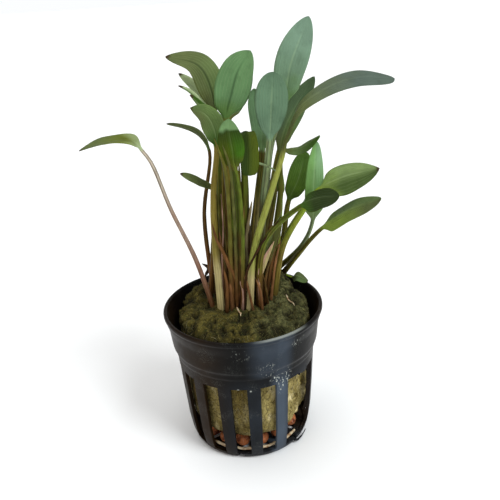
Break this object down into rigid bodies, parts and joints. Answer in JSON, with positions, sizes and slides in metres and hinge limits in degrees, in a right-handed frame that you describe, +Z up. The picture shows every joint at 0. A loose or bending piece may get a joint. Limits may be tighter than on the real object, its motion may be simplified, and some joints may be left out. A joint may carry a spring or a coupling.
{
  "type": "potted aquarium plant",
  "caption": "Broad-leaved water plant rooted in a mossy rockwool plug, standing in a black slotted net pot.",
  "frame": {"origin": "centre of the pot's foot, on the surface that the pot stands on", "axes": "+Z up along the pot's axis; the plant's front, with the drooping leaf on its left, faces -Y"},
  "size_m": [0.0962, 0.0674, 0.1406],
  "materials": {
    "black_plastic": "satin",
    "rockwool": "matte",
    "baked_clay": "matte",
    "root": "matte",
    "leaf": "satin"
  },
  "bodies": {
    "root": {"clay_pellet_1": "baked_clay", "clay_pellet_10": "baked_clay", "clay_pellet_11": "baked_clay", "clay_pellet_12": "baked_clay", "clay_pellet_13": "baked_clay", "clay_pellet_14": "baked_clay", "clay_pellet_15": "baked_clay", "clay_pellet_2": "baked_clay", "clay_pellet_3": "baked_clay", "clay_pellet_4": "baked_clay", "clay_pellet_5": "baked_clay", "clay_pellet_6": "baked_clay", "clay_pellet_7": "baked_clay", "clay_pellet_8": "baked_clay", "clay_pellet_9": "baked_clay", "leaf_back_left": "leaf", "leaf_back_middle": "leaf", "leaf_back_outer": "leaf", "leaf_back_right": "leaf", "leaf_drooping": "leaf", "leaf_front_cupped": "leaf", "leaf_front_hanging": "leaf", "leaf_left_arching": "leaf", "leaf_left_broad": "leaf", "leaf_left_low": "leaf", "leaf_left_lower": "leaf", "leaf_left_middle": "leaf", "leaf_left_short": "leaf", "leaf_left_thin_arch": "leaf", "leaf_left_upper": "leaf", "leaf_middle_behind": "leaf", "leaf_middle_pale": "leaf", "leaf_right_curled": "leaf", "leaf_right_dark": "leaf", "leaf_right_folded": "leaf", "leaf_right_front": "leaf", "leaf_right_inner": "leaf", "leaf_right_long_arch": "leaf", "leaf_right_low": "leaf", "leaf_right_upright": "leaf", "leaf_right_young": "leaf", "leaf_tallest": "leaf", "net_pot": "black_plastic", "rockwool_plug": "rockwool", "root_front": "root", "root_front_right": "root", "root_left": "root", "root_right": "root", "small_leaf_on_plug": "leaf", "young_shoot": "leaf"}
  },
  "joints": []
}
